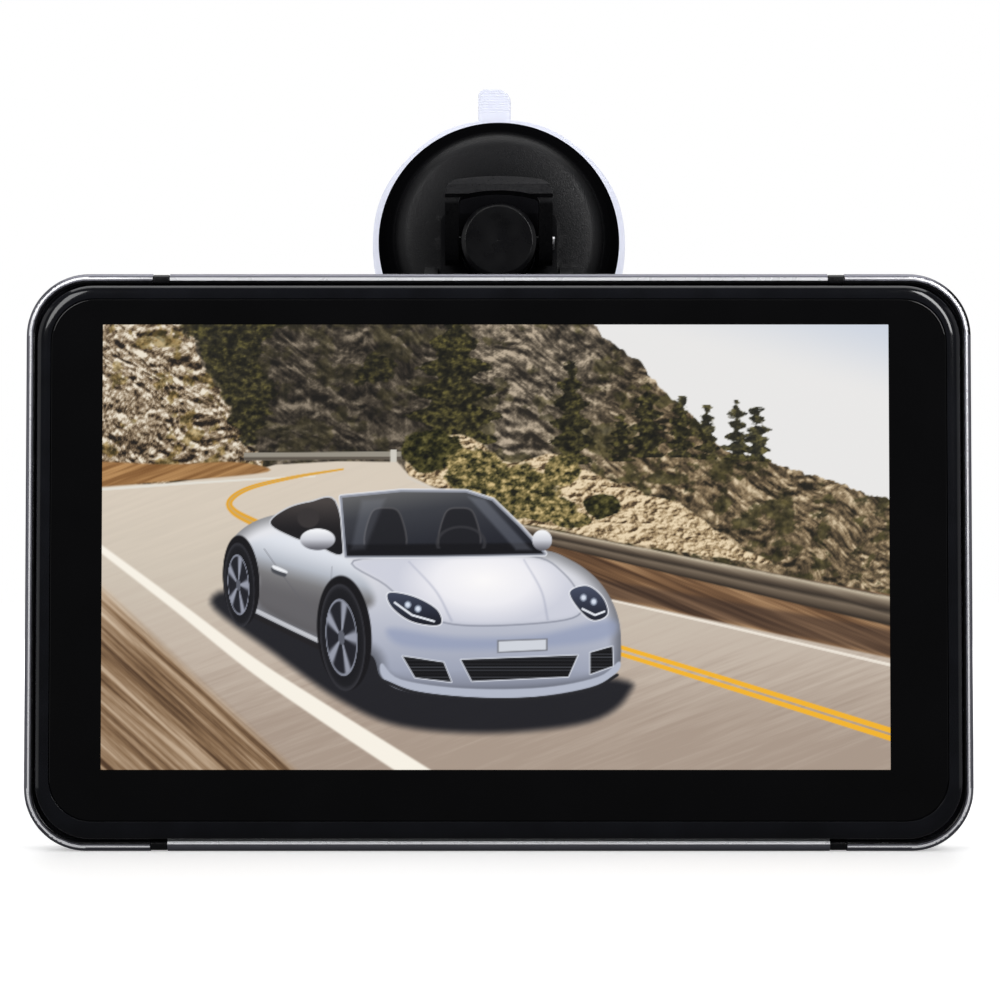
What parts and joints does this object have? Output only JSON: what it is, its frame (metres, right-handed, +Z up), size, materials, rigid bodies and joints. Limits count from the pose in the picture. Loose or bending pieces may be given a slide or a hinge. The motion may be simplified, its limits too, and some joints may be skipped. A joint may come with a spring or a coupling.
{
  "type": "portable gps navigator",
  "caption": "Slim tablet-shaped navigator with a wide screen in a metal band, held by a ball-jointed arm on a lever-locked suction cup.",
  "frame": {"origin": "centre of the suction cup's contact face, where it meets the windscreen", "axes": "+Y points out of the cup at the windscreen, +Z up, +X to the right of a driver looking at the screen"},
  "size_m": [0.1862, 0.079, 0.1656],
  "materials": {
    "clear_cup": "clear soft plastic, faintly lilac",
    "black_plastic": "finely sparked black plastic",
    "black_insert": "satin black plastic",
    "soft_black": "soft-touch black",
    "grey_plastic": "bare grey plastic",
    "gloss_black": "polished piano black",
    "band_metal": "satin anodised, polished front edge",
    "steel": "bright zinc plate",
    "black_steel": "black oxide",
    "nickel": "nickel plate",
    "sheet_metal": "stamped sheet",
    "light_guide": "white reflector and clear light guide",
    "light_alloy": "stamped alloy",
    "cover_glass": "clear, black-printed border",
    "screen": "lit picture",
    "black_rubber": "matt",
    "circuit_board": "green solder mask",
    "battery_foil": "silver pouch foil",
    "ceramic": "unglazed ceramic"
  },
  "bodies": {
    "suction_mount": {"suction_cup": "clear_cup", "mount_dome": "black_plastic", "hinge_bolt": "black_steel", "hinge_nut": "steel", "hinge_washers": "black_rubber"},
    "stud": {"pull_stud": "black_plastic", "lever_pin": "steel"},
    "lever": {"cam_lever": "black_plastic"},
    "arm_body": {"arm": "black_plastic"},
    "liner": {"ball_liner": "grey_plastic"},
    "ring": {"lock_ring": "black_plastic"},
    "cradle_body": {"cradle": "black_plastic", "ball_socket": "black_plastic", "cradle_screws": "steel"},
    "navigator": {"band_top": "band_metal", "band_bottom": "band_metal", "band_left": "band_metal", "band_right": "band_metal", "aerial_window": "black_insert", "bezel": "gloss_black", "touch_glass": "cover_glass", "display_gasket": "black_rubber", "lcd_panel": "screen", "backlight": "light_guide", "chassis": "light_alloy", "main_board": "circuit_board", "battery": "battery_foil", "speaker": "black_plastic", "satellite_aerial": "ceramic", "headphone_jack": "nickel", "av_jack": "nickel", "usb_port": "nickel", "card_slot": "sheet_metal", "rear_cover": "soft_black", "cover_screws": "black_steel", "band_break_top_left": "black_insert", "band_break_top_right": "black_insert", "band_break_bottom_left": "black_insert", "band_break_bottom_right": "black_insert"},
    "power_key": {"power_button": "band_metal"},
    "card": {"memory_card": "black_plastic"}
  },
  "joints": [
    {"name": "stud_pull", "type": "slide", "parent": "suction_mount", "child": "stud", "axis": [0, 1, 0], "range_m": [0, 0.0015]},
    {"name": "lever_flip", "type": "hinge", "parent": "stud", "child": "lever", "pos_m": [0, -0.02545, -0.003], "axis": [1, 0, 0], "range_deg": [0, 90]},
    {"name": "arm_tilt", "type": "hinge", "parent": "suction_mount", "child": "arm_body", "pos_m": [0, -0.029, -0.0205], "axis": [1, 0, 0], "range_deg": [-25, 15]},
    {"name": "ball_tilt", "type": "hinge", "parent": "arm_body", "child": "liner", "pos_m": [0, -0.0505, -0.06], "axis": [1, 0, 0], "range_deg": [-15, 15]},
    {"name": "ball_pan", "type": "hinge", "parent": "liner", "child": "ring", "pos_m": [0, -0.0505, -0.06], "axis": [0, 0, 1], "range_deg": [-15, 15]},
    {"name": "ball_roll", "type": "hinge", "parent": "ring", "child": "cradle_body", "pos_m": [0, -0.0505, -0.06], "axis": [0, 1, 0], "range_deg": [0, 90]},
    {"name": "cradle_release", "type": "slide", "parent": "cradle_body", "child": "navigator", "axis": [0, 0, 1], "range_m": [0, 0.008]},
    {"name": "power_press", "type": "slide", "parent": "navigator", "child": "power_key", "axis": [0, 0, -1], "range_m": [0, 0.0004], "stiffness_N_per_m": 2500},
    {"name": "card_pull", "type": "slide", "parent": "navigator", "child": "card", "axis": [-1, 0, 0], "range_m": [0, 0.012]}
  ],
  "couplings": [
    {"joint": "stud_pull", "follows": "lever_flip", "m_per_rad": 0.00095}
  ]
}
